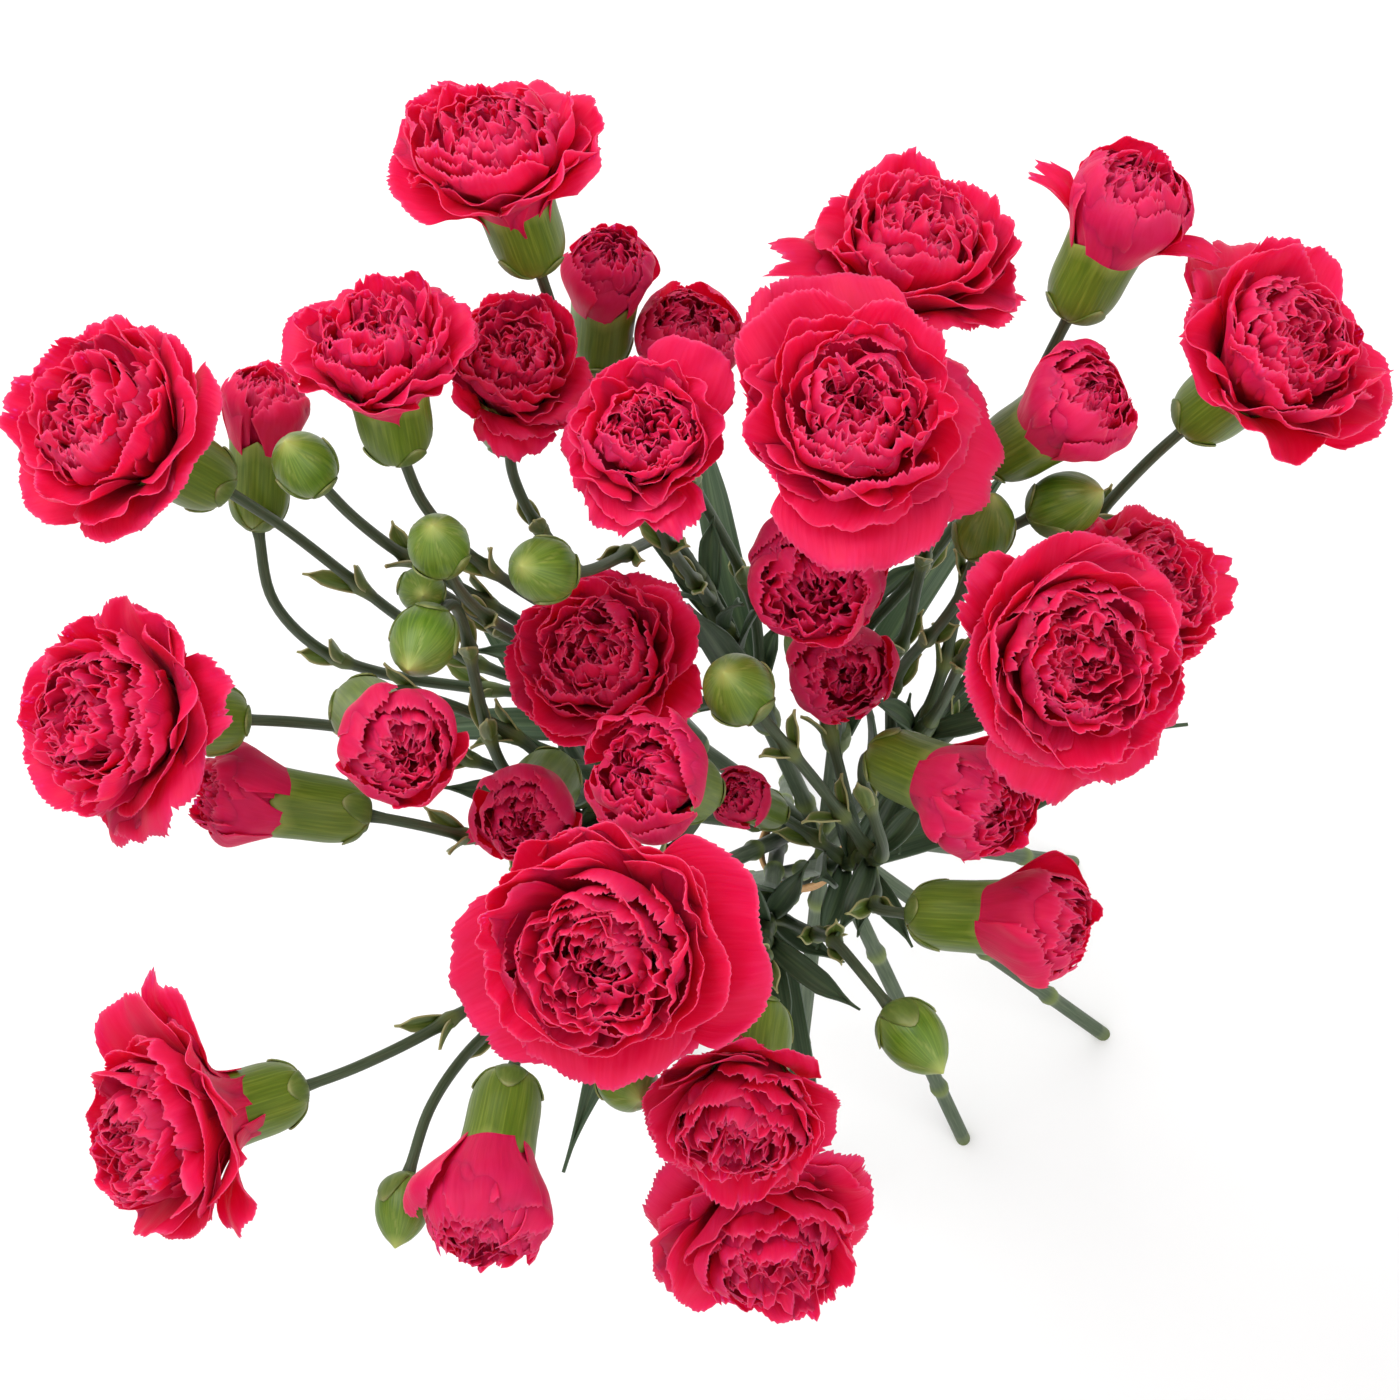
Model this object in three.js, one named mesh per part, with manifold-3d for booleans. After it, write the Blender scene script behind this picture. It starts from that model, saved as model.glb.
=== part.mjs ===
// A hand-tied bunch of cut spray carnations that stands on its own cut ends. Millimetres, +Z up.
//
// Eight main stems cross in a spiral: each is a straight line that leans the same way round, so they
// all touch one narrow waist, where a rubber band holds them, and splay to a ring of feet below it.
// Above the waist every stem branches into side stems, and each side stem carries one head: an open
// bloom, a half-open bloom or a closed bud. One pair of leaves clasps each stem above the band.
import * as THREE from "three";
import { mergeVertices } from "three/addons/utils/BufferGeometryUtils.js";
import Module from "manifold-3d";

const wasm = await Module();
wasm.setup();

// ---- Driving dimensions ----
const GAP = 0.3; // clearance between pieces that touch
const TIE_HEIGHT = 180; // middle of the rubber band above the surface
const STEM_D = 4.4; // main stem between its nodes
const NODE_D = 5.8; // swollen node on a main stem
const NODE_PITCH = 44; // from one swollen node to the next; the waist is halfway between two of them
const NODE_HALF = 3.5; // half the height of a swelling
const WAIST_ROOM = 0.5; // between neighbouring stems at the waist
const SIDE_D = 2.8; // side stem
const BRANCH_PITCH = 12; // from one side stem to the next, down the main stem
const BRANCH_ROOM = 9; // from the leaf pair's node up to the lowest side stem
const BRANCH_SPREAD = 0.55; // how far a side stem leaves its main stem's line, as a tangent
const BRANCH_BOW = 0.36; // stiffness of a side stem's curve, as a share of its span
const SIDE_SET = 2; // depth of a side stem's end inside its head

const CALYX_LENGTH = 24;
const CALYX_FOOT_D = 10;
const CALYX_BELLY_D = 15.5;
const CALYX_MOUTH_D = 17;
const CALYX_MOST = 0.72; // a small bloom's calyx mouth, as a share of the bloom's width
const BLOOM_RISE = 0.34; // height of an open bloom's petals over its calyx, as a share of its width
const HALF_RISE = 0.62; // the same for a half-open bloom
const BUD_LENGTH_RATIO = 1.42; // length of a closed bud over its width

const LEAF_LENGTH = 88;
const LEAF_WIDTH = 8;
const LEAF_THICKNESS = 1.2;
const LEAF_NODE = 1.5; // where the pair sits above the waist, in node pitches
const OUTER_LEAF = { rise: 66, droop: 62 }; // angle above the plane across the stem, and its loss by the tip
const INNER_LEAF = { rise: 86, droop: 14 }; // the same for the leaf on the bunch's inner side, which stays erect
const SHEATH_WALL = 0.9;
const SHEATH_HEIGHT = 7;

const BAND_HEIGHT = 7;
const BAND_WALL = 1.4;

// ---- Facets ----
const STEM_SIDES = 6;
const SIDE_SIDES = 5;
const SIDE_STEPS = 6;
const HEAD_SIDES = { bloom: 11, half_open: 8, bud: 7 };
const SHEATH_SIDES = 10;
const LEAF_STEPS = 7;
const BAND_SIDES = 16;

// ---- Materials ----
const finish = (color, roughness) => new THREE.MeshStandardMaterial({ color, roughness, metalness: 0 });
const PETAL = finish(0xd81e45, 0.6);
const BUD_GREEN = finish(0x5f8a2f, 0.55);
const STEM_GREEN = finish(0x5d7a68, 0.65);
const LEAF_GREEN = finish(0x476b57, 0.65);
const RUBBER = finish(0xb98b55, 0.7);

// ---- Layout ----
// A head's row: the azimuth and lean of its middle, seen from the waist, and how much further from the waist
// it is than its main stem's top, then the azimuth and nod that it faces, then its width. Azimuths count
// from +X towards +Y; lean and nod are from straight up, in degrees.
const head = (kind) => (azimuth, lean, beyond, faceAzimuth, nod, width) => ({
  kind,
  azimuth,
  lean,
  beyond,
  faceAzimuth,
  nod,
  width,
});
const bloom = head("bloom");
const half = head("half_open");
const bud = head("bud");

// Each spray leans its main stem towards its own side and turns its leaf pair from that side by leafTurn.
// Its heads come from the top of the stem down.
const SPRAYS = {
  a: {
    azimuth: 146,
    lean: 22,
    leafTurn: 40,
    heads: [
      bud(151, 18, 135, 125, 14, 13),
      bud(153, 11, 122, 60, 10, 13),
      bloom(132, 16, 147, 80, 24, 38),
      bloom(157, 25, 152, 160, 28, 48),
      half(145, 26, 115, 75, 50, 20),
      bud(161, 14, 97, 305, 26, 10),
    ],
  },
  b: {
    azimuth: 190,
    lean: 20,
    leafTurn: -70,
    heads: [
      bud(177, 12, 108, 260, 46, 14),
      half(201, 13, 118, 315, 40, 27),
      bloom(186, 25, 135, 195, 33, 50),
      half(192, 27, 92, 175, 60, 22),
      half(209, 15, 43, 265, 30, 24),
      bloom(152, 6, 57, 195, 10, 44),
    ],
  },
  c: {
    azimuth: 234,
    lean: 20,
    leafTurn: 15,
    heads: [
      bloom(263, 15, 117, 265, 24, 56),
      half(262, 6, 86, 200, 10, 29),
      bloom(222, 34, 125, 207, 46, 50),
      half(249, 32, 95, 265, 66, 32),
      bud(240, 36, 89, 265, 72, 12),
    ],
  },
  d: {
    azimuth: 280,
    lean: 20,
    leafTurn: 0,
    heads: [
      bloom(279, 25, 91, 268, 52, 42),
      bud(263, 24, 83, 310, 40, 13),
      bloom(277, 35, 67, 284, 60, 48),
      bud(268, 20, 73, 40, 34, 14),
      bud(303, 28, 60, 308, 75, 14),
    ],
  },
  e: {
    azimuth: 325,
    lean: 19,
    leafTurn: 55,
    heads: [
      half(339, 20, 71, 330, 56, 30),
      bud(349, 4, 80, 140, 8, 15),
      half(328, 29, 53, 352, 70, 28),
      half(14, 11, 45, 305, 34, 25),
      half(291, 6, 13, 195, 10, 14),
    ],
  },
  f: {
    azimuth: 8,
    lean: 21,
    leafTurn: 0,
    heads: [
      bloom(358, 21, 111, 325, 34, 52),
      bud(23, 25, 93, 5, 50, 14),
      bloom(25, 33, 135, 18, 37, 48),
      bud(25, 20, 91, 60, 32, 13),
      bloom(12, 29, 79, 12, 46, 38),
    ],
  },
  g: {
    azimuth: 52,
    lean: 21,
    leafTurn: 0,
    heads: [
      bloom(43, 14, 129, 10, 12, 50),
      half(31, 10, 87, 290, 34, 34),
      half(42, 30, 145, 48, 40, 28),
      bloom(57, 24, 119, 60, 40, 44),
      half(30, 25, 117, 12, 42, 25),
    ],
  },
  h: {
    azimuth: 99,
    lean: 19,
    leafTurn: 0,
    heads: [
      bud(143, 7, 109, 215, 16, 14),
      bloom(87, 9, 127, 20, 9, 35),
      bloom(105, 21, 155, 100, 27, 43),
      bloom(115, 17, 111, 45, 20, 34),
      half(98, 23, 103, 60, 28, 21),
      half(88, 22, 83, 50, 22, 24),
    ],
  },
};

// ---- Heights along a main stem, from the waist ----
const LEAF_RISE = LEAF_NODE * NODE_PITCH;
const MOST_HEADS = Math.max(...Object.values(SPRAYS).map(({ heads }) => heads.length));
const STEM_TOP = LEAF_RISE + BRANCH_ROOM + (MOST_HEADS - 1) * BRANCH_PITCH;

// ---- Small helpers ----
const rad = THREE.MathUtils.degToRad;
const UP = new THREE.Vector3(0, 0, 1);
const WAIST = new THREE.Vector3(0, 0, TIE_HEIGHT);

// The unit vector at an azimuth and an angle from straight up.
function direction(azimuth, angle) {
  const out = Math.sin(rad(angle));
  return new THREE.Vector3(out * Math.cos(rad(azimuth)), out * Math.sin(rad(azimuth)), Math.cos(rad(angle)));
}

// The placement that puts a piece's origin at a point and its own +Z along a direction.
function placement(point, facing) {
  const turn = new THREE.Quaternion().setFromUnitVectors(UP, facing);
  return new THREE.Matrix4().compose(point, turn, new THREE.Vector3(1, 1, 1));
}

// A solid of revolution about +Z from [radius, height] pairs that start and end on the axis.
function turned(profile, sides) {
  const points = profile.map(([radius, height]) => new THREE.Vector2(radius, height));
  return new THREE.LatheGeometry(points, sides).rotateX(Math.PI / 2);
}

// A rod with a regular section along a curve.
function rod(curve, diameter, sides, steps) {
  const section = new THREE.Shape();
  for (let i = 0; i < sides; i++) {
    const angle = (2 * Math.PI * i) / sides;
    section.lineTo((diameter / 2) * Math.cos(angle), (diameter / 2) * Math.sin(angle));
  }
  return new THREE.ExtrudeGeometry(section, { steps, extrudePath: curve, bevelEnabled: false });
}

// A geometry as a solid for joining and cutting.
function solid(geometry) {
  const bare = new THREE.BufferGeometry().setAttribute("position", geometry.getAttribute("position"));
  bare.setIndex(geometry.index);
  const merged = mergeVertices(bare, 1e-3);
  const corners = merged.index.array;
  const kept = [];
  for (let i = 0; i < corners.length; i += 3) {
    const [a, b, c] = corners.subarray(i, i + 3);
    if (a !== b && b !== c && a !== c) kept.push(a, b, c);
  }
  const vertProperties = merged.getAttribute("position").array;
  return new wasm.Manifold(new wasm.Mesh({ numProp: 3, vertProperties, triVerts: new Uint32Array(kept) }));
}

// A solid back as a geometry.
function geometryOf(made) {
  const mesh = made.getMesh();
  const geometry = new THREE.BufferGeometry();
  geometry.setAttribute("position", new THREE.BufferAttribute(mesh.vertProperties, 3));
  geometry.setIndex(new THREE.BufferAttribute(mesh.triVerts, 1));
  geometry.computeVertexNormals();
  return geometry;
}

function named(name, geometry, material, place) {
  const mesh = new THREE.Mesh(geometry, material);
  mesh.name = name;
  if (place) place.decompose(mesh.position, mesh.quaternion, mesh.scale);
  return mesh;
}

// ---- Main stems ----
const count = Object.keys(SPRAYS).length;

// The straight axis of a spray's main stem: its point at the waist and its direction.
function stemAxis({ azimuth, lean }) {
  const tilt = rad(lean);
  const waistRadius = (STEM_D + WAIST_ROOM) / (2 * Math.sin(Math.PI / count) * Math.cos(tilt));
  const crownRadius = STEM_TOP * Math.sin(tilt);
  const start = azimuth - THREE.MathUtils.radToDeg(Math.atan2(crownRadius, waistRadius));
  const waist = direction(start, 90).multiplyScalar(waistRadius).add(WAIST);
  const along = direction(start + 90, 90).multiplyScalar(Math.sin(tilt)).addScaledVector(UP, Math.cos(tilt));
  return { waist, along, radius: waistRadius };
}

// One main stem, with its nodes, cut level at the surface.
function stemGeometry(axis) {
  const foot = axis.waist.z / axis.along.z;
  const length = foot + STEM_TOP;
  const profile = [[0, 0], [STEM_D / 2, 0]];
  const first = foot - NODE_PITCH * Math.floor(foot / NODE_PITCH + 0.5) + NODE_PITCH / 2;
  for (let at = first; at < length - NODE_HALF; at += NODE_PITCH) {
    profile.push([STEM_D / 2, at - NODE_HALF], [NODE_D / 2, at], [STEM_D / 2, at + NODE_HALF]);
  }
  profile.push([STEM_D / 2, length], [0, length]);
  const geometry = turned(profile, STEM_SIDES);
  const base = axis.waist.clone().addScaledVector(axis.along, -foot);
  const place = placement(base, axis.along);
  const across = new THREE.Vector3().setFromMatrix3Column(new THREE.Matrix3().setFromMatrix4(place), 0);
  const deep = new THREE.Vector3().setFromMatrix3Column(new THREE.Matrix3().setFromMatrix4(place), 1);
  const corners = geometry.getAttribute("position");
  for (let i = 0; i < corners.count; i++) {
    if (Math.abs(corners.getZ(i)) > 1e-4) continue;
    const lift = corners.getX(i) * across.z + corners.getY(i) * deep.z;
    corners.setZ(i, -lift / axis.along.z);
  }
  return { geometry, place };
}

// ---- Heads ----
// Each profile runs up the axis from the calyx foot; the middle is the point that a head's row places.
function headShape({ kind, width }) {
  if (kind === "bud") {
    const length = width * BUD_LENGTH_RATIO;
    const profile = [
      [0, 0],
      [width * 0.3, length * 0.04],
      [width * 0.5, length * 0.38],
      [width * 0.4, length * 0.72],
      [0, length],
    ];
    return { profile, middle: length * 0.55 };
  }
  const mouth = Math.min(CALYX_MOUTH_D, width * CALYX_MOST);
  const belly = mouth * (CALYX_BELLY_D / CALYX_MOUTH_D);
  const foot = mouth * (CALYX_FOOT_D / CALYX_MOUTH_D);
  const rise = width * (kind === "bloom" ? BLOOM_RISE : HALF_RISE);
  const top = CALYX_LENGTH + rise;
  const profile = [
    [0, 0],
    [foot / 2, 0.8],
    [belly / 2, CALYX_LENGTH * 0.3],
    [mouth / 2, CALYX_LENGTH * 0.88],
    [width * 0.5, CALYX_LENGTH + rise * 0.34],
    [width * 0.46, CALYX_LENGTH + rise * 0.7],
    [width * 0.24, CALYX_LENGTH + rise * 0.95],
    [0, top],
  ];
  return { profile, middle: CALYX_LENGTH + rise * 0.5 };
}

// A head on its side stem, in the head's own frame.
function headMesh(name, spec, axis, order) {
  const { profile, middle } = headShape(spec);
  const facing = direction(spec.faceAzimuth, spec.nod);
  const reach = STEM_TOP + spec.beyond;
  const centre = direction(spec.azimuth, spec.lean).multiplyScalar(reach).add(WAIST);
  const foot = centre.addScaledVector(facing, -middle);

  const fork = axis.waist.clone().addScaledVector(axis.along, STEM_TOP - order * BRANCH_PITCH);
  const away = foot.clone().sub(fork);
  away.addScaledVector(axis.along, -away.dot(axis.along)).normalize();
  const leaving = axis.along.clone().addScaledVector(away, order ? BRANCH_SPREAD : 0).normalize();
  const clear = order ? (NODE_D / 2 + GAP + SIDE_D / 2) / leaving.dot(away) : GAP;
  const start = fork.clone().addScaledVector(leaving, clear);
  const bow = start.distanceTo(foot) * BRANCH_BOW;
  const points = [
    start,
    start.clone().addScaledVector(leaving, bow),
    foot.clone().addScaledVector(facing, -bow),
    foot.clone().addScaledVector(facing, SIDE_SET),
  ];
  const place = placement(foot, facing);
  const back = place.clone().invert();
  const curve = new THREE.CubicBezierCurve3(...points.map((point) => point.applyMatrix4(back)));
  const flower = solid(turned(profile, HEAD_SIDES[spec.kind]));
  const sideStem = solid(rod(curve, SIDE_D, SIDE_SIDES, SIDE_STEPS));
  return named(name, geometryOf(flower.add(sideStem)), spec.kind === "bud" ? BUD_GREEN : PETAL, place);
}

// ---- Leaves ----
// How wide a blade is at a share of its length, as a share of its full width: it has a narrow foot, is
// widest before its middle and ends in a narrow tip.
function bladeWidth(along) {
  if (along > 0.999) return 0.2;
  return 0.45 + 0.55 * Math.sin(Math.PI * (along * 0.9 + 0.1));
}

// One blade from the stem's axis outward along +X: a tapered box bent into an arc.
function blade({ rise, droop }) {
  const geometry = new THREE.BoxGeometry(LEAF_LENGTH, LEAF_WIDTH, LEAF_THICKNESS, LEAF_STEPS, 1, 1);
  const corners = geometry.getAttribute("position");
  const radius = LEAF_LENGTH / rad(droop);
  for (let i = 0; i < corners.count; i++) {
    const along = corners.getX(i) / LEAF_LENGTH + 0.5;
    const angle = rad(rise) - rad(droop) * along;
    const middleX = radius * (Math.sin(rad(rise)) - Math.sin(angle));
    const middleZ = radius * (Math.cos(angle) - Math.cos(rad(rise)));
    const off = corners.getZ(i);
    corners.setXYZ(
      i,
      middleX - off * Math.sin(angle),
      corners.getY(i) * bladeWidth(along),
      middleZ + off * Math.cos(angle),
    );
  }
  return geometry;
}

// An opposite pair whose feet join in a sheath round the stem, with the stem's clearance bored out.
function leafPair(name, axis, turn) {
  const bore = NODE_D / 2 + GAP;
  const wall = bore + SHEATH_WALL;
  const foot = -SHEATH_HEIGHT / 2;
  const ring = [[0, foot], [wall, foot], [wall, -foot], [0, -foot]];
  const core = [[0, 2 * foot], [bore, 2 * foot], [bore, LEAF_LENGTH], [0, LEAF_LENGTH]];
  const sheath = solid(turned(ring, SHEATH_SIDES));
  const hole = solid(turned(core, SHEATH_SIDES));
  const root = [bore * 0.9, 0, -SHEATH_HEIGHT * 0.3];
  const outer = blade(OUTER_LEAF).translate(...root);
  const inner = blade(INNER_LEAF).translate(...root).rotateZ(Math.PI);
  const pair = sheath.add(solid(outer)).add(solid(inner)).subtract(hole);
  const at = axis.waist.clone().addScaledVector(axis.along, LEAF_RISE);
  return named(name, geometryOf(pair).rotateZ(rad(turn)), LEAF_GREEN, placement(at, axis.along));
}

// ---- Rubber band ----
// A ring round the waist, wide enough for the stems where they leave its edges.
function rubberBand(axes) {
  const edge = BAND_HEIGHT / 2;
  const slope = (along) => Math.hypot(along.x, along.y) / along.z;
  const widest = Math.max(...axes.map(({ radius, along }) => Math.hypot(radius, edge * slope(along))));
  const inner = (widest + STEM_D / 2 + GAP) / Math.cos(Math.PI / BAND_SIDES);
  const outer = inner + BAND_WALL;
  const profile = [
    [inner, -edge],
    [outer, -edge],
    [outer, edge],
    [inner, edge],
    [inner, -edge],
  ];
  return named("rubber_band", turned(profile, BAND_SIDES), RUBBER, placement(WAIST, UP));
}

// ---- The bunch ----
const bunch = new THREE.Group();
const axes = [];
for (const [letter, spray] of Object.entries(SPRAYS)) {
  const axis = stemAxis(spray);
  axes.push(axis);
  const { geometry, place } = stemGeometry(axis);
  bunch.add(named(`stem_${letter}`, geometry, STEM_GREEN, place));
  bunch.add(leafPair(`leaf_pair_${letter}`, axis, spray.azimuth + spray.leafTurn));
  spray.heads.forEach((spec, order) => {
    bunch.add(headMesh(`${spec.kind}_${letter}${order + 1}`, spec, axis, order));
  });
}
bunch.add(rubberBand(axes));

// The origin is under the middle of the bunch's box, on the surface that it stands on.
const box = new THREE.Box3().setFromObject(bunch, true);
bunch.position.set(-(box.min.x + box.max.x) / 2, -(box.min.y + box.max.y) / 2, 0);

export default bunch;
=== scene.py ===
"""A hand-tied bunch of cut spray carnations, dressed over its CAD frame.

Every head, stem, leaf pair and the rubber band is found in the frame's own meshes: a head's axis, width,
foot and side stem, a main stem's axis and nodes, a leaf's tip. The fine surfaces are then grown on those.
Metres, +Z up.
"""

import math

import bpy
import numpy as np
from mathutils import Matrix, Vector


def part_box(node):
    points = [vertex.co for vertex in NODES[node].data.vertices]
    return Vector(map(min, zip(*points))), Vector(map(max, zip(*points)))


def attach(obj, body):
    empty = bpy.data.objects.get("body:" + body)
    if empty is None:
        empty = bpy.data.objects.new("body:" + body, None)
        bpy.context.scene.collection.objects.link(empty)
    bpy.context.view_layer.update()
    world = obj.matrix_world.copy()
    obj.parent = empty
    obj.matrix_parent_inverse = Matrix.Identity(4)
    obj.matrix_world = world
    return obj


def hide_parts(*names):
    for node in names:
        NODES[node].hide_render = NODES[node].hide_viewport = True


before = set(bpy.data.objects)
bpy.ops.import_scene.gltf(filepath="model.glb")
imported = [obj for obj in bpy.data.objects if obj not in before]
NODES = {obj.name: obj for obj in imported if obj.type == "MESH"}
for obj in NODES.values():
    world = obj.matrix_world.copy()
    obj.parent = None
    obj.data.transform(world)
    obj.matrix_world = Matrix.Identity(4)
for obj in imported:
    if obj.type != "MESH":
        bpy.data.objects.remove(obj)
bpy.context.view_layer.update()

# ---- Sizes of the CAD heads and stems that a mesh can't tell by itself ----
CALYX_LENGTH = 0.024
CALYX_MOUTH = 0.017
CALYX_MOST = 0.72  # calyx mouth over the bloom's width, for a small bloom
RISE = {"bloom": 0.34, "half_open": 0.62}  # petals' height over the calyx, over the head's width
BUD_LENGTH = 1.42  # over the bud's width
HEAD_SIDES = {"bloom": 11, "half_open": 8, "bud": 7}  # corners round a CAD head
SIDE_SIDES = 5  # corners round a CAD side stem
SIDE_RADIUS = 0.0014
STEM_RADIUS = 0.0022
NODE_RADIUS = 0.0029

# ---- Sizes of the fine surfaces ----
PETAL_THICKNESS = 0.0003
BRACT_THICKNESS = 0.00035
CALYX_WALL = 0.00045
SMALL_LEAF_WIDTH = 0.0044  # of the bracts on side stems
FORK_LEAF_WIDTH = 0.0060
LEAF_LENGTH = 0.088
LEAF_WIDTH = 0.0088
SHEATH_HEIGHT = 0.0085
STEM_SIDES = 14
SIDE_STEM_SIDES = 12
BAND_TURNS = 4
FOLIAGE = 1  # the second material of a piece that has bracts or leaves

# ---- Camera: it looks down on the bunch, from a little to the front ----
CAMERA_BACK = np.array([0.1531, -0.2155, 0.9644])  # from the bunch to the camera
CAMERA_UP = np.array([0.0338, 0.9765, 0.2128])
CAMERA_AWAY = 1.145  # from the tie, along the view
CAMERA_RIGHT = -0.0267  # of the tie, across the view
CAMERA_RAISE = 0.0401
LENS = 110.2
SENSOR = 36.0

# ---- Light: a near key light over the back left, a fill from the front right, and a bright room ----
ROOM_STRENGTH = 0.85
KEY_SPOT, KEY_SIZE, KEY_POWER = (-0.38, 0.46, 1.25), 0.9, 8.5
FILL_SPOT, FILL_SIZE, FILL_POWER = (1.1, -0.8, 1.5), 1.4, 9
LIGHT_AIM_OVER_TIE = 0.2
FLOOR_REACH = 6


# ---------------------------------------------------------------- small mathematics
def unit(vector):
    return vector / np.linalg.norm(vector)


def smooth(edge0, edge1, value):
    """0 before edge0, 1 after edge1 and a smooth rise between them."""
    share = np.clip((value - edge0) / (edge1 - edge0), 0, 1)
    return share * share * (3 - 2 * share)


def across_of(axis, towards=(1.0, 0.0, 0.0)):
    """Two unit vectors across an axis, the first as near to towards as it can be."""
    first = np.array(towards, float)
    first -= axis * first.dot(axis)
    if np.linalg.norm(first) < 1e-6:
        first = np.array([0.0, 1.0, 0.0]) - axis * axis[1]
    first = unit(first)
    return first, np.cross(axis, first)


def bezier(points, share):
    """A cubic Bezier curve's points and tangents at shares of its length, for four control points."""
    a, b, c, d = (np.asarray(point, float) for point in points)
    t = np.asarray(share, float)[..., None]
    place = a * (1 - t) ** 3 + 3 * b * t * (1 - t) ** 2 + 3 * c * t**2 * (1 - t) + d * t**3
    tangent = 3 * (b - a) * (1 - t) ** 2 + 6 * (c - b) * t * (1 - t) + 3 * (d - c) * t**2
    return place, tangent


def spline(points, count):
    """A smooth curve through points, as count points at even steps."""
    points = np.asarray(points, float)
    padded = np.vstack([2 * points[0] - points[1], points, 2 * points[-1] - points[-2]])
    between = 12
    fine = []
    for i in range(len(points) - 1):
        a, b, c, d = padded[i : i + 4]
        t = np.linspace(0, 1, between, endpoint=False)[:, None]
        bends = (c - a) * t + (2 * a - 5 * b + 4 * c - d) * t**2 + (3 * b - a - 3 * c + d) * t**3
        fine.append(0.5 * (2 * b + bends))
    fine = np.vstack(fine + [points[-1:]])
    reach = np.concatenate([[0], np.cumsum(np.linalg.norm(np.diff(fine, axis=0), axis=1))])
    even = np.linspace(0, reach[-1], count)
    return np.stack([np.interp(even, reach, fine[:, k]) for k in range(3)], 1)


# ---------------------------------------------------------------- reading the frame
def mesh_of(node):
    """A node's corners with repeats merged, its triangles, and each corner's neighbours."""
    mesh = NODES[node].data
    mesh.calc_loop_triangles()
    points = np.empty(len(mesh.vertices) * 3, np.float32)
    mesh.vertices.foreach_get("co", points)
    faces = np.empty(len(mesh.loop_triangles) * 3, np.int32)
    mesh.loop_triangles.foreach_get("vertices", faces)
    points, same = np.unique(points.reshape(-1, 3).astype(float).round(5), axis=0, return_inverse=True)
    faces = same.ravel()[faces].reshape(-1, 3)
    links = [set() for _ in points]
    for a, b, c in faces:
        links[a] |= {b, c}
        links[b] |= {a, c}
        links[c] |= {a, b}
    return points, faces, links


def levels_from(start, links):
    """Sets of corners by their number of steps from the start set."""
    seen = set(start)
    levels = [set(start)]
    while levels[-1]:
        ahead = set().union(*(links[i] for i in levels[-1])) - seen
        seen |= ahead
        levels.append(ahead)
    return levels[:-1]


def read_head(node, kind):
    """A head's foot, axis, width and side stem's line, from its mesh."""
    points, faces, links = mesh_of(node)
    # The head's top is the corner whose ring of neighbours is the most even.
    best = None
    for i, near in enumerate(links):
        if len(near) != HEAD_SIDES[kind]:
            continue
        spans = np.linalg.norm(points[list(near)] - points[i], axis=1)
        unevenness = spans.std() / spans.mean()
        if best is None or unevenness < best[0]:
            best = (unevenness, i)
    pole = best[1]
    a, b, c = (points[corner] for corner in faces[(faces == pole).any(1)].T)
    axis = unit(np.cross(b - a, c - a).sum(0))
    # The head is as wide as the widest of the rings next to its top.
    levels = levels_from({pole}, links)
    width = 0
    for level in levels[1:4]:
        arms = points[list(level)] - points[pole]
        arms -= np.outer(arms @ axis, axis)
        width = max(width, 2 * np.linalg.norm(arms, axis=1).mean())
    length = width * BUD_LENGTH if kind == "bud" else CALYX_LENGTH + width * RISE[kind]
    foot = points[pole] - axis * length

    # The side stem is followed ring by ring from its far end, until it reaches the head.
    far = next(iter(levels[-1]))
    ring = set(np.flatnonzero(np.linalg.norm(points - points[far], axis=1) < 2.4 * SIDE_RADIUS))
    line = []
    for level in levels_from(ring, links):
        middle = points[list(level)].mean(0)
        if len(level) > SIDE_SIDES + 1 or np.linalg.norm(middle - foot) < 0.004:
            break
        line.append(middle)
    return {"foot": foot, "axis": axis, "width": width, "length": length, "line": np.array(line)}


def read_stem(node):
    """A main stem's foot, top, direction and the heights of its nodes along it."""
    points, _, _ = mesh_of(node)
    foot = points[points[:, 2] < 1e-5].mean(0)
    along = unit(points.mean(0) - foot)
    for _ in range(3):
        heights = (points - foot) @ along
        top = points[heights > heights.max() - 1e-4].mean(0)
        along = unit(top - foot)
    heights = (points - foot) @ along
    radii = np.linalg.norm(points - foot - np.outer(heights, along), axis=1)
    swollen = np.sort(heights[radii > (STEM_RADIUS + NODE_RADIUS) / 2])
    groups = np.split(swollen, np.flatnonzero(np.diff(swollen) > 0.005) + 1)
    return {"foot": foot, "top": top, "along": along, "nodes": [group.mean() for group in groups]}


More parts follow.
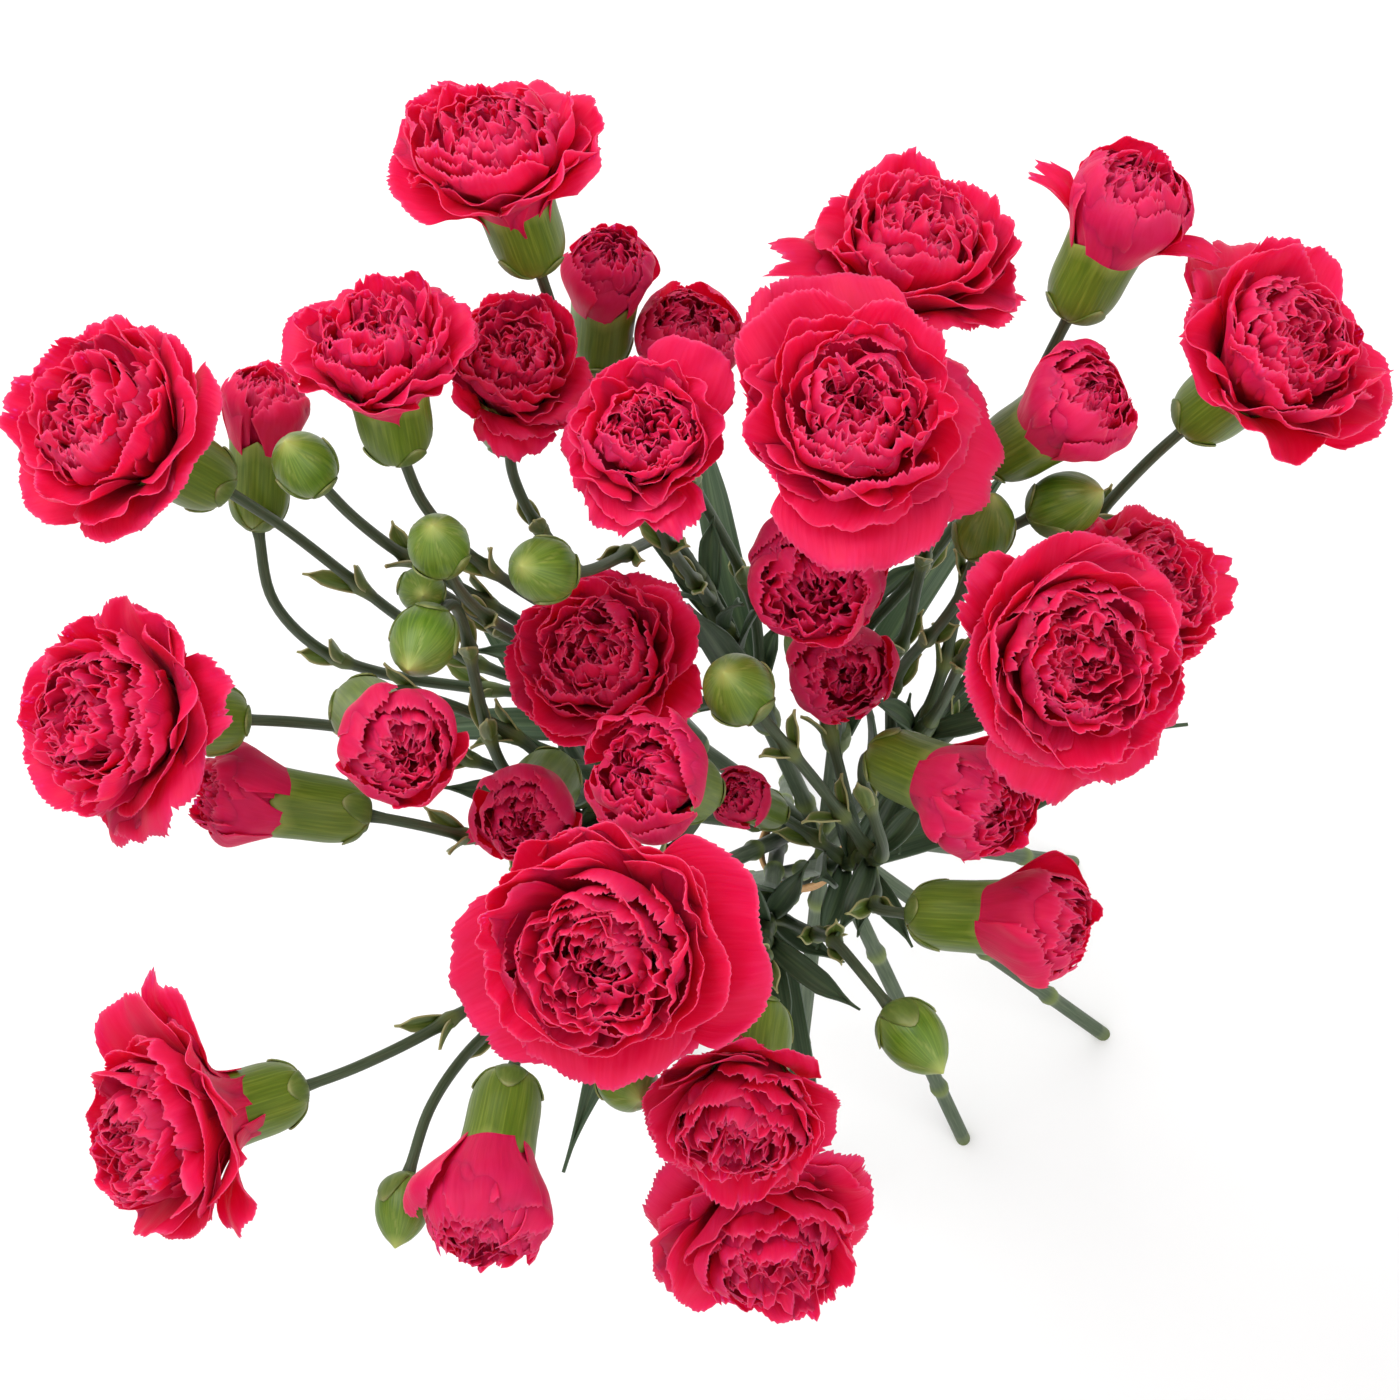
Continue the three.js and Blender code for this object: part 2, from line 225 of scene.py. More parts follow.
# ---------------------------------------------------------------- making meshes
class Shape:
    """Corners and faces gathered into one piece.

    Each corner has a place (across, along, tone), which colours follow, and a grain, which veins follow.
    """

    def __init__(self):
        self.points, self.places, self.grains = [], [], []
        self.loops, self.sizes, self.materials, self.smooths = [], [], [], []
        self.count = 0

    def add(self, points, smooth_faces, places, grains, material=0, flat_faces=()):
        for face_sets, smoothed in ((smooth_faces, True), (flat_faces, False)):
            for faces in face_sets:
                self.loops.append((faces + self.count).ravel())
                self.sizes.append(np.full(len(faces), faces.shape[1]))
                self.materials.append(np.full(len(faces), material))
                self.smooths.append(np.full(len(faces), smoothed))
        self.points.append(points)
        self.places.append(places)
        self.grains.append(grains)
        self.count += len(points)

    def made(self, name, materials, slot, node):
        """The piece in the scene, which rides on the bunch and stands in for a node of the frame."""
        points = np.concatenate(self.points)
        loops = np.concatenate(self.loops)
        sizes = np.concatenate(self.sizes)
        mesh = bpy.data.meshes.new(name)
        mesh.vertices.add(len(points))
        mesh.vertices.foreach_set("co", points.astype(np.float32).ravel())
        mesh.loops.add(len(loops))
        mesh.loops.foreach_set("vertex_index", loops.astype(np.int32))
        mesh.polygons.add(len(sizes))
        starts = np.concatenate([[0], np.cumsum(sizes)[:-1]])
        mesh.polygons.foreach_set("loop_start", starts.astype(np.int32))
        mesh.polygons.foreach_set("use_smooth", np.concatenate(self.smooths))
        mesh.polygons.foreach_set("material_index", np.concatenate(self.materials).astype(np.int32))
        mesh.update(calc_edges=True)
        for kind, values in (("place", self.places), ("grain", self.grains)):
            held = mesh.attributes.new(kind, "FLOAT_VECTOR", "POINT")
            held.data.foreach_set("vector", np.concatenate(values).astype(np.float32).ravel())
        for material in materials:
            mesh.materials.append(material)
        piece = bpy.data.objects.new(name, mesh)
        bpy.context.scene.collection.objects.link(piece)
        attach(piece, "root")
        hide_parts(node)


def grid_faces(rows, columns, closed=False, start=0, turned=False):
    """Quads over a grid of corners that runs row by row; closed joins each row's ends."""
    wide = columns if closed else columns - 1
    row, column = np.meshgrid(np.arange(rows - 1), np.arange(wide), indexing="ij")
    near, far = row.ravel() * columns, (row.ravel() + 1) * columns
    column = column.ravel()
    beside = (column + 1) % columns
    quads = np.stack([near + column, near + beside, far + beside, far + column], 1)
    return (quads[:, ::-1] if turned else quads) + start


def fan_faces(ring, centre, turned=False):
    """Triangles from a ring of corners to one corner."""
    ring = np.asarray(ring)
    fan = np.stack([ring, np.roll(ring, -1), np.full(len(ring), centre)], 1)
    return fan[:, ::-1] if turned else fan


def lathe_faces(rows, columns):
    """The faces of a round solid: closed rings of corners, then one more corner at either end."""
    count = rows * columns
    first_end = fan_faces(range(columns), count, turned=True)
    last_end = fan_faces(range(count - columns, count), count + 1)
    return [grid_faces(rows, columns, closed=True), np.vstack([first_end, last_end])]


def around_axis(place, radius, angle, height):
    """Points at a radius, an angle and a height round an axis, for a place (foot, axis, across, beside)."""
    foot, axis, first, second = place
    across = (radius * np.cos(angle))[..., None] * first
    beside = (radius * np.sin(angle))[..., None] * second
    return foot + across + beside + height[..., None] * axis


def turned_place(place, turn):
    """The same place, turned round its axis."""
    foot, axis, first, second = place
    across = first * math.cos(turn) + second * math.sin(turn)
    beside = second * math.cos(turn) - first * math.sin(turn)
    return foot, axis, across, beside


def round_grain(angle, along, turn, stretch):
    """A grain that runs along a round piece: turn is how fast it changes round it, stretch along it."""
    return np.stack([np.cos(angle) * turn, np.sin(angle) * turn, along * stretch], -1)


def tube(shape, line, radii, sides, tones):
    """A closed round rod along a line of points, with rounded ends. Each point has its radius and tone."""
    line = np.asarray(line, float)
    tangents = np.gradient(line, axis=0)
    tangents /= np.linalg.norm(tangents, axis=1)[:, None]
    first, _ = across_of(tangents[0])
    angles = np.linspace(0, 2 * np.pi, sides, endpoint=False)
    rings = []
    for point, tangent, radius in zip(line, tangents, radii):
        first = unit(first - tangent * first.dot(tangent))
        second = np.cross(tangent, first)
        rings.append(point + radius * (np.outer(np.cos(angles), first) + np.outer(np.sin(angles), second)))
    first_end = line[:1] - tangents[:1] * radii[0] * 0.3
    last_end = line[-1:] + tangents[-1:] * radii[-1] * 0.3
    reach = np.concatenate([[0], np.cumsum(np.linalg.norm(np.diff(line, axis=0), axis=1))])
    share = reach / reach[-1]
    body = np.stack([np.tile(np.cos(angles), len(line)), np.repeat(share, sides), np.repeat(tones, sides)], 1)
    ends = np.array([[0, 0, tones[0]], [0, 1, tones[-1]]])
    grain = round_grain(np.tile(angles, len(line)), np.repeat(reach * 1000, sides), 3.0, 0.06)
    grain = np.vstack([grain, round_grain(np.zeros(2), reach[[0, -1]] * 1000, 0.0, 0.06)])
    points = np.vstack([*rings, first_end, last_end])
    shape.add(points, lathe_faces(len(line), sides), np.vstack([body, ends]), grain)


def sheet(shape, surface, places, grain, thickness, material=0):
    """A closed thin sheet over a grid of middle points, rows by columns by 3, with a sharp edge."""
    rows, columns, _ = surface.shape
    down = np.gradient(surface, axis=0)
    beside = np.gradient(surface, axis=1)
    normals = np.cross(beside, down)
    size = np.linalg.norm(normals, axis=2, keepdims=True)
    normals = normals / np.maximum(size, 1e-12)
    half = np.broadcast_to(thickness / 2, surface.shape[:2])[..., None]
    front = (surface + normals * half).reshape(-1, 3)
    back = (surface - normals * half).reshape(-1, 3)
    count = rows * columns
    index = np.arange(count).reshape(rows, columns)
    rim = np.concatenate([index[0], index[1:, -1], index[-1, -2::-1], index[-2:0:-1, 0]])
    ahead = np.roll(rim, -1)
    sides = [grid_faces(rows, columns), grid_faces(rows, columns, start=count, turned=True)]
    edge = [np.stack([rim, rim + count, ahead + count, ahead], 1)]
    places, grain = places.reshape(-1, 3), grain.reshape(-1, 3)
    points = np.vstack([front, back])
    shape.add(points, sides, np.vstack([places] * 2), np.vstack([grain] * 2), material, edge)


class Waves:
    """Smooth random waves over one or two values, the same each run for the same seed."""

    def __init__(self, rng, count, low, high):
        self.turns = rng.uniform(low, high, (count, 2)) * rng.choice([-1, 1], (count, 2))
        self.starts = rng.uniform(0, 2 * np.pi, count)
        self.sizes = rng.uniform(0.5, 1.0, count) / math.sqrt(count)

    def __call__(self, across, along=0.0):
        total = 0.0
        for (a, b), start, size in zip(self.turns, self.starts, self.sizes):
            total = total + size * np.sin(a * across + b * along + start)
        return total


# ---------------------------------------------------------------- petals
TOOTH_PITCH = 0.00060
TOOTH_DEPTH = 0.0012
FINE_HEAD = 0.019  # a head of a larger half width has more and smoother petals, not larger folds

# Whorls from the outside in: the count of petals, half width, then the profile's last two points as radius
# and height over the calyx's mouth, all as shares of the head's half width; then curl, ruffle, crumple and
# the depth of the teeth. The outer whorls spread; the others close over the middle like shingles.
BLOOM_WHORLS = [
    (5, 0.76, (0.86, 0.42), (1.10, 0.24), 0.75, 0.100, 0.020, 0.60),
    (5, 0.68, (0.82, 0.52), (0.98, 0.50), 0.85, 0.100, 0.025, 0.65),
    (5, 0.58, (0.80, 0.54), (0.78, 0.76), 0.95, 0.085, 0.028, 0.80),
    (5, 0.54, (0.80, 0.58), (0.54, 0.80), 1.00, 0.070, 0.032, 1.00),
    (6, 0.48, (0.72, 0.66), (0.43, 0.86), 1.05, 0.066, 0.038, 1.05),
    (7, 0.41, (0.62, 0.71), (0.34, 0.89), 1.05, 0.062, 0.043, 1.05),
    (7, 0.35, (0.50, 0.73), (0.25, 0.89), 1.10, 0.056, 0.047, 1.05),
    (7, 0.29, (0.38, 0.73), (0.17, 0.87), 1.10, 0.050, 0.050, 1.00),
    (7, 0.23, (0.24, 0.71), (0.10, 0.84), 1.00, 0.045, 0.050, 0.90),
    (5, 0.18, (0.10, 0.69), (0.04, 0.82), 1.00, 0.045, 0.046, 0.80),
]
HALF_WHORLS = [
    (5, 0.90, (1.26, 0.62), (0.78, 1.02), 0.95, 0.060, 0.020, 0.70),
    (5, 0.82, (1.14, 0.74), (0.62, 1.14), 1.00, 0.070, 0.030, 0.85),
    (6, 0.66, (0.96, 0.84), (0.46, 1.19), 1.05, 0.070, 0.045, 1.00),
    (7, 0.50, (0.78, 0.86), (0.33, 1.18), 1.10, 0.070, 0.055, 1.00),
    (7, 0.40, (0.58, 0.84), (0.21, 1.13), 1.10, 0.065, 0.065, 1.00),
    (7, 0.30, (0.36, 0.80), (0.11, 1.07), 1.00, 0.060, 0.065, 0.90),
    (4, 0.22, (0.14, 0.76), (0.04, 1.02), 1.00, 0.055, 0.060, 0.90),
]
# Long outer petals that stray from some heads: direction seen from above, reach and half width as shares.
STRAYS = {
    "g3": [((-1.0, 0.3), 1.55, 0.42), ((1.0, -0.3), 1.60, 0.40)],
    "g4": [((-1.0, -0.5), 1.50, 0.42), ((0.8, -0.7), 1.25, 0.50)],
    "c3": [((0.3, 1.0), 1.35, 0.50), ((0.9, -0.6), 1.20, 0.45)],
    "b3": [((1.0, 0.1), 1.35, 0.45)],
    "h2": [((0.4, -1.0), 1.30, 0.45), ((-0.4, -1.0), 1.25, 0.50)],
    "b5": [((-1.0, -0.5), 1.30, 0.35)],
    "f1": [((-0.9, 0.7), 1.15, 0.50)],
}
# The random draws of heads whose first petals would cross a neighbour's stem or petals.
OTHER_DRAWS = {"b6": 248, "f3": 202, "g1": 201}


def petal(shape, rng, place, profile, azimuth, half, claw, curl, ruffle, crumple, twist, tone, tooth):
    """One petal of a head: a fan that grows out of the calyx along profile, four points of (radius, height).

    place is the head's (foot, axis, across, beside); half is half the width of the fan and claw its share in
    the calyx; curl is how closely it wraps the head's axis; ruffle and crumple are how far its margin and its
    blade wave; twist turns it; tooth is how deep its margin is cut.
    """
    foot, axis, first, second = place
    columns = 2 * max(7, round(half / TOOTH_PITCH)) + 1
    rows = 15 if half > 0.007 else 12
    u = np.linspace(-1, 1, columns)
    u[1:-1] += rng.uniform(-0.35, 0.35, columns - 2) * (u[1] - u[0])
    v = np.linspace(0, 1, rows) ** 0.8
    length = np.linalg.norm(np.diff(np.asarray(profile), axis=0), axis=1).sum()

    # The margin: a rounded fan with a few broad lobes, cut into fine uneven teeth.
    lobes = Waves(rng, 4, 2.0, 9.0)
    peaks, notches = rng.uniform(0.0, 1.0, columns), rng.uniform(-1.0, 0.0, columns)
    teeth = np.where(np.arange(columns) % 2 == 0, peaks, notches)
    deep = rng.uniform(0, 1, columns) < 0.07
    outline = 1 - 0.26 * np.abs(u) ** 2.8 + (0.02 + 0.5 * crumple / half) * lobes(u * 1.6)
    cut = (teeth - 1.8 * deep) * tooth / length
    t = v[:, None] * outline[None, :] + cut[None, :] * smooth(0.80, 1.0, v)[:, None]

    place_rz, tangent_rz = bezier([np.array(point) for point in profile], np.clip(t, 0, 1.1))
    radius, height = place_rz[..., 0], place_rz[..., 1]
    tangent_rz = tangent_rz / np.maximum(np.linalg.norm(tangent_rz, axis=-1, keepdims=True), 1e-9)
    inward_r, inward_z = -tangent_rz[..., 1], tangent_rz[..., 0]

    spread = half * (claw + (1 - claw) * smooth(0.05, 0.78, t))
    aside = u[None, :] * spread
    bend = np.maximum(radius, 0.45 * half) / curl
    angle = aside / bend

    # Waves grow from nothing in the claw to their most at the margin.
    margin = Waves(rng, 3, 1.5, 4.5)
    frill = Waves(rng, 3, 6.0, 13.0)
    blade = Waves(rng, 5, 2.0, 7.0)
    wave = ruffle * margin(u[None, :] * 1.2, v[:, None] * 0.7) * smooth(0.30, 1.0, v)[:, None]
    wave = wave + 0.42 * ruffle * frill(u[None, :], v[:, None] * 0.3) * smooth(0.62, 1.0, v)[:, None]
    wave = wave + crumple * blade(u[None, :] * 1.5, v[:, None] * 2.2) * smooth(0.15, 0.8, v)[:, None]
    wave = wave + rng.normal(0, 0.4) * ruffle * np.abs(u)[None, :] ** 1.5 * v[:, None]

    across_r = radius - bend * (1 - np.cos(angle)) + inward_r * wave * np.cos(angle)
    across_t = bend * np.sin(angle) + inward_r * wave * np.sin(angle)
    height = height + inward_z * wave
    turn = azimuth + twist * v[:, None] + 0 * u[None, :]
    x = across_r * np.cos(turn) - across_t * np.sin(turn)
    y = across_r * np.sin(turn) + across_t * np.cos(turn)
    surface = foot + x[..., None] * first + y[..., None] * second + height[..., None] * axis

    level = 0 * t
    places = np.stack([level + u, level + v[:, None], level + tone], -1)
    veins = u * half * 1000 * (0.5 + 0.5 * v[:, None])
    grain = np.stack([veins, level + 2.2 * v[:, None], level + 37 * tone], -1)
    sheet(shape, surface, places, grain, PETAL_THICKNESS * (1 - 0.6 * v)[:, None] + level)


def petals_of(kind, tag, head, rng):
    """All of a head's petals, as one piece."""
    shape = Shape()
    size = head["width"] / 2
    mouth = min(CALYX_MOUTH, head["width"] * CALYX_MOST) / 2
    first, second = across_of(head["axis"])
    place = (head["foot"], head["axis"], first, second)
    whorls = BLOOM_WHORLS if kind == "bloom" else HALF_WHORLS
    start = rng.uniform(0, 2 * np.pi)
    side = rng.choice([-1, 1])
    oval = rng.uniform(0.03, 0.11) if kind == "bloom" else 0.03
    longest = rng.uniform(0, np.pi)
    head_tooth = rng.uniform(0.65, 1.0) * TOOTH_DEPTH
    pinker = rng.uniform(0.0, 0.5) + (0.3 if kind == "half_open" else 0.0)
    # Some blooms hold their outer petals up like a cup, others spread them flat.
    cup = rng.uniform(-0.2, 0.9) if kind == "bloom" else 0.0
    # A head is never quite round: its outer petals stand taller on one side, its middle lies to another.
    tall, heavy = rng.uniform(0, 2 * np.pi, 2)
    uneven = rng.uniform(0.10, 0.28) if kind == "bloom" else 0.05
    finer = min(1.0, FINE_HEAD / size)
    for order, (count, half, bend, tip, curl, ruffle, crumple, tooth) in enumerate(whorls):
        inner = order / (len(whorls) - 1)
        if order > 2:
            count = round(count / finer)
        turn = start + order * 2.4
        cupped = cup * max(0.0, 1 - order / 3)
        for i in range(count):
            azimuth = turn + 2 * np.pi * (i + rng.uniform(-0.32, 0.32)) / count
            more = 1 + oval * np.cos(2 * (azimuth - longest)) + 0.10 * inner * np.cos(azimuth - heavy)
            more += rng.normal(0, 0.09 if order < 2 else 0.06)
            risen = uneven * max(0.0, 1 - order / 4) * np.cos(azimuth - tall)
            # Some petals stand up from the others instead of closing over the middle.
            open_out = 0.30 * rng.uniform(0, 1) ** 2.0 * min(order, 3) / 3
            lift = 1 + rng.normal(0, 0.07)
            profile = [
                (mouth * (0.86 - 0.74 * inner), CALYX_LENGTH * 0.64),
                (mouth * (0.98 - 0.74 * inner), CALYX_LENGTH + size * 0.10),
                (size * bend[0] * more, CALYX_LENGTH + size * bend[1] * lift),
                (
                    size * (tip[0] * more + open_out - 0.10 * cupped - 0.3 * risen),
                    CALYX_LENGTH + size * (tip[1] * lift + open_out * 0.3 + 0.30 * cupped + risen),
                ),
            ]
            petal(
                shape,
                rng,
                place,
                profile,
                azimuth,
                half=size * half * rng.uniform(0.72, 1.18),
                claw=0.42 if order < 2 else 0.16,
                curl=curl * rng.uniform(0.85, 1.15),
                ruffle=size * finer * ruffle * rng.uniform(0.6, 1.3),
                crumple=size * finer * crumple * rng.uniform(0.7, 1.3),
                twist=side * rng.uniform(0.05, 0.3),
                tone=pinker + rng.uniform(0, 0.2),
                tooth=head_tooth * tooth,
            )
    for (x, y), reach, half in STRAYS.get(tag, []):
        profile = [
            (mouth * 0.9, CALYX_LENGTH * 0.64),
            (mouth * 1.0, CALYX_LENGTH + size * 0.05),
            (size * 0.95, CALYX_LENGTH + size * 0.40),
            (size * reach, CALYX_LENGTH + size * 0.38),
        ]
        azimuth = math.atan2(np.dot(second, (x, y, 0)), np.dot(first, (x, y, 0)))
        petal(
            shape,
            rng,
            place,
            profile,
            azimuth,
            half=size * half,
            claw=0.3,
            curl=1.6,
            ruffle=size * 0.08,
            crumple=size * 0.03,
            twist=0.0,
            tone=pinker,
            tooth=head_tooth,
        )
    return shape


# ---------------------------------------------------------------- calyx, bracts and buds
def lathe_radius(heights, profile):
    """The radius at each height along a profile of (height, radius) pairs."""
    return np.interp(heights, profile[:, 0], profile[:, 1])


def rounded(profile, steps=24):
    """(height, radius) pairs as a finer smooth profile."""
    points = np.array([(z, r, 0.0) for z, r in profile])
    return spline(points, steps)[:, :2]


def bracts(shape, place, profile, pairs):
    """Pairs of small pointed scales that hug a calyx's foot, each pair across the last.

    A pair is its height, half the angle that a scale covers, and how far its tip stands off.
    """
    for order, (height, half_angle, stand) in enumerate(pairs):
        for side in range(2):
            middle = math.pi * side + order * math.pi / 2 + 0.3
            u = np.linspace(-1, 1, 11)
            v = np.linspace(0, 1, 9)
            outline = (1 - np.abs(u) ** 1.8) * 0.94 + 0.06
            z = -0.0004 + v[:, None] * outline[None, :] * height
            around = middle + u[None, :] * half_angle * (1 - 0.35 * v[:, None])
            out = lathe_radius(np.maximum(z, 0), profile) + 0.00025 + stand * smooth(0.55, 1.0, z / height)
            places = np.stack([u[None, :] + 0 * z, z / height, 1 + 0 * z], -1)
            grain = np.stack([u[None, :] * 3 + 0 * z, z * 120, side * 5 + order * 9 + 0 * z], -1)
            sheet(shape, around_axis(place, out, around, z), places, grain, BRACT_THICKNESS, FOLIAGE)


def calyx_of(head, rng):
    """The green cup under the petals, with five pointed teeth, and its bracts."""
    shape = Shape()
    place = (head["foot"], head["axis"], *across_of(head["axis"]))
    turn = rng.uniform(0, 2 * np.pi)
    mouth = min(CALYX_MOUTH, head["width"] * CALYX_MOST) / 2
    length = CALYX_LENGTH
    profile = rounded(
        [
            (-0.0008, mouth * 0.22),
            (length * 0.03, mouth * 0.60),
            (length * 0.12, mouth * 0.82),
            (length * 0.32, mouth * 0.95),
            (length * 0.65, mouth * 0.98),
            (length * 1.08, mouth * 1.06),
        ]
    )
    columns, rows = 60, 18
    around = np.linspace(0, 2 * np.pi, columns, endpoint=False)
    v = np.linspace(0, 1, rows)
    wave = (around * 5 / (2 * np.pi)) % 1
    teeth = 1 - np.abs(2 * wave - 1)
    top = length * (0.87 + 0.16 * teeth**0.9 + 0.02 * np.sin(around + turn))
    z = -0.0008 + v[:, None] * (top[None, :] + 0.0008)
    radius = lathe_radius(z, profile)
    radius = radius * (1 + 0.012 * np.cos(5 * around + math.pi)[None, :] * smooth(0.3, 0.9, v)[:, None])
    # Inside, the wall turns back down to the middle of the cup.
    inner_v = np.linspace(1, 0, 5)
    inner_z = length * 0.5 + inner_v[:, None] * (top[None, :] - length * 0.5)
    inner_r = lathe_radius(inner_z, profile) - CALYX_WALL
    inner_r[0] += 0.0002
    all_z = np.vstack([z, inner_z])
    all_r = np.vstack([radius, inner_r])
    points = around_axis(place, all_r, around + turn, all_z)
    poles = np.array([head["foot"] - 0.0010 * head["axis"], head["foot"] + length * 0.5 * head["axis"]])
    high = all_z / top[None, :]
    places = np.stack([np.broadcast_to(wave, all_z.shape) * 5, high, np.broadcast_to(teeth, all_z.shape)], -1)
    places = np.vstack([places.reshape(-1, 3), [[0, 0, 0], [0, 0.5, 0]]])
    grain = round_grain(around[None, :] + 0 * all_z, all_z * 1000, mouth * 1000, 0.05).reshape(-1, 3)
    grain = np.vstack([grain, np.zeros((2, 3))])
    shape.add(np.vstack([points.reshape(-1, 3), poles]), lathe_faces(len(all_z), columns), places, grain)
    pairs = [(length * 0.34, 1.00, 0.0), (length * 0.22, 1.10, 0.0003)]
    bracts(shape, turned_place(place, turn), profile, pairs)
    return shape


def bud_of(head, rng):
    """A closed green bud: five teeth that meet at a pale tip, and the bracts at its foot."""
    shape = Shape()
    place = (head["foot"], head["axis"], *across_of(head["axis"]))
    turn = rng.uniform(0, 2 * np.pi)
    width, length = head["width"] / 2, head["length"]
    profile = rounded(
        [
            (-0.0004, width * 0.20),
            (length * 0.04, width * 0.62),
            (length * 0.16, width * 0.90),
            (length * 0.38, width * 1.03),
            (length * 0.62, width * 0.92),
            (length * 0.82, width * 0.58),
            (length * 0.94, width * 0.22),
            (length * 1.0, width * 0.05),
        ],
        40,
    )
    columns, rows = 50, 26
    around = np.linspace(0, 2 * np.pi, columns, endpoint=False)
    z = np.interp(np.linspace(0, 1, rows), np.linspace(0, 1, len(profile)), profile[:, 0])
    radius = lathe_radius(z, profile)[:, None] + 0 * around[None, :]
    share = z / length
    # Towards the tip the teeth lean, overlap like a twisted cone and have grooves between them.
    lean = 0.5 * smooth(0.5, 1.0, share)
    wave = ((around[None, :] + lean[:, None]) * 5 / (2 * np.pi)) % 1
    groove = np.exp(-((np.minimum(wave, 1 - wave) / 0.07) ** 2)) * smooth(0.5, 0.8, share)[:, None]
    lap = (wave - 0.5) * smooth(0.55, 0.9, share)[:, None]
    radius = radius * (1 - 0.055 * groove + 0.05 * lap)
    points = around_axis(place, radius, around[None, :] + turn, z[:, None] + 0 * radius)
    poles = np.array([head["foot"] - 0.0008 * head["axis"], head["foot"] + (length * 1.012) * head["axis"]])
    places = np.stack([wave * 5, share[:, None] + 0 * wave, 1 - groove], -1).reshape(-1, 3)
    places = np.vstack([places, [[0, 0, 1], [0, 1, 1]]])
    grain = round_grain(around[None, :] + 0 * wave, share[:, None] * 10 + 0 * wave, 6.0, 0.12).reshape(-1, 3)
    grain = np.vstack([grain, [[0, 0, 0], [0, 0, 1.2]]])
    shape.add(np.vstack([points.reshape(-1, 3), poles]), lathe_faces(rows, columns), places, grain)
    pairs = [(length * 0.52, 1.25, 0.0), (length * 0.34, 1.35, 0.0003)]
    bracts(shape, turned_place(place, turn), profile, pairs)
    return shape


# ---------------------------------------------------------------- stems and leaves
def leaflet(shape, root, out, up, length, width, rise, droop, tone, thickness, rows):
    """A narrow pointed leaf from root. It starts rise above out and has lost droop by its tip, in degrees."""
    v = np.linspace(0, 1, rows)
    angle = math.radians(rise) - math.radians(droop) * v
    step = length / (rows - 1)
    way = np.cos(angle)[:, None] * out + np.sin(angle)[:, None] * up
    middle = root + np.vstack([np.zeros(3), np.cumsum((way[1:] + way[:-1]) / 2 * step, axis=0)])
    beside = unit(np.cross(up, out))
    facing = np.cross(way, beside)
    u = np.linspace(-1, 1, 9)
    belly = 0.42 + 0.58 * np.sin(np.pi * np.minimum(v * 0.85 + 0.12, 1))
    half = width / 2 * belly * (1 - smooth(0.62, 1.0, v) * 0.985)
    keel = -0.22 * width * (1 - np.abs(u)) * (1 - 0.4 * v[:, None])
    surface = (
        middle[:, None, :]
        + (u[None, :] * half[:, None])[..., None] * beside
        + keel[..., None] * facing[:, None, :]
    )
    level = 0 * keel
    places = np.stack([level + u, level + v[:, None], level + tone], -1)
    grain = np.stack([level + u * width * 600, level + v[:, None] * 1.5, level + out[0] * 20], -1)
    sheet(shape, surface, places, grain, thickness, FOLIAGE)


def small_leaves(shape, rng, root, along, radius, width, lengths, rises, droops, **looks):
    """An opposite pair of small leaves on a stem. Lengths, rises and droops are ranges to draw from."""
    out, _ = across_of(along, rng.normal(0, 1, 3))
    for way in (out, -out):
        length, rise, droop = (rng.uniform(*bounds) for bounds in (lengths, rises, droops))
        base = root + way * radius * 0.8
        leaflet(shape, base, way, along, length=length, width=width, rise=rise, droop=droop, **looks)


def side_stem_of(head, stem, rng):
    """A side stem from its main stem to its head, with a swollen node or two and their small bracts."""
    shape = Shape()
    # It starts inside the main stem, a little below the fork, and ends inside the calyx's foot.
    fork = (head["line"][0] - stem["foot"]) @ stem["along"]
    top = np.linalg.norm(stem["top"] - stem["foot"])
    inside = stem["foot"] + stem["along"] * min(fork - 0.004, top - 0.002)
    points = np.vstack([inside, head["line"], head["foot"] - head["axis"] * 0.001])
    count = 48
    path = spline(points, count)
    reach = np.concatenate([[0], np.cumsum(np.linalg.norm(np.diff(path, axis=0), axis=1))])
    span = reach[-1]
    joints = [0.30, 0.66] if span > 0.085 else [0.50]
    joints = [min(0.9, share + rng.uniform(-0.06, 0.06)) for share in joints]
    swell = np.exp(-(((reach - 0.004) / 0.004) ** 2)) * 0.35
    for share in joints:
        swell = swell + np.exp(-(((reach - share * span) / 0.0030) ** 2)) * 0.60
    taper = 1.06 - 0.16 * reach / span
    neck = 0.25 * smooth(span - 0.004, span, reach)
    radii = SIDE_RADIUS * (taper + swell + neck)
    tube(shape, path, radii, SIDE_STEM_SIDES, np.clip(swell * 1.6, 0, 1))
    for share in joints:
        i = int(np.searchsorted(reach, share * span))
        tangent = unit(path[min(i + 1, count - 1)] - path[i - 1])
        small_leaves(
            shape,
            rng,
            path[i] - tangent * 0.001,
            tangent,
            SIDE_RADIUS,
            SMALL_LEAF_WIDTH,
            lengths=(0.007, 0.014),
            rises=(68, 82),
            droops=(5, 35),
            tone=0.6,
            thickness=0.0004,
            rows=10,
        )
    return shape


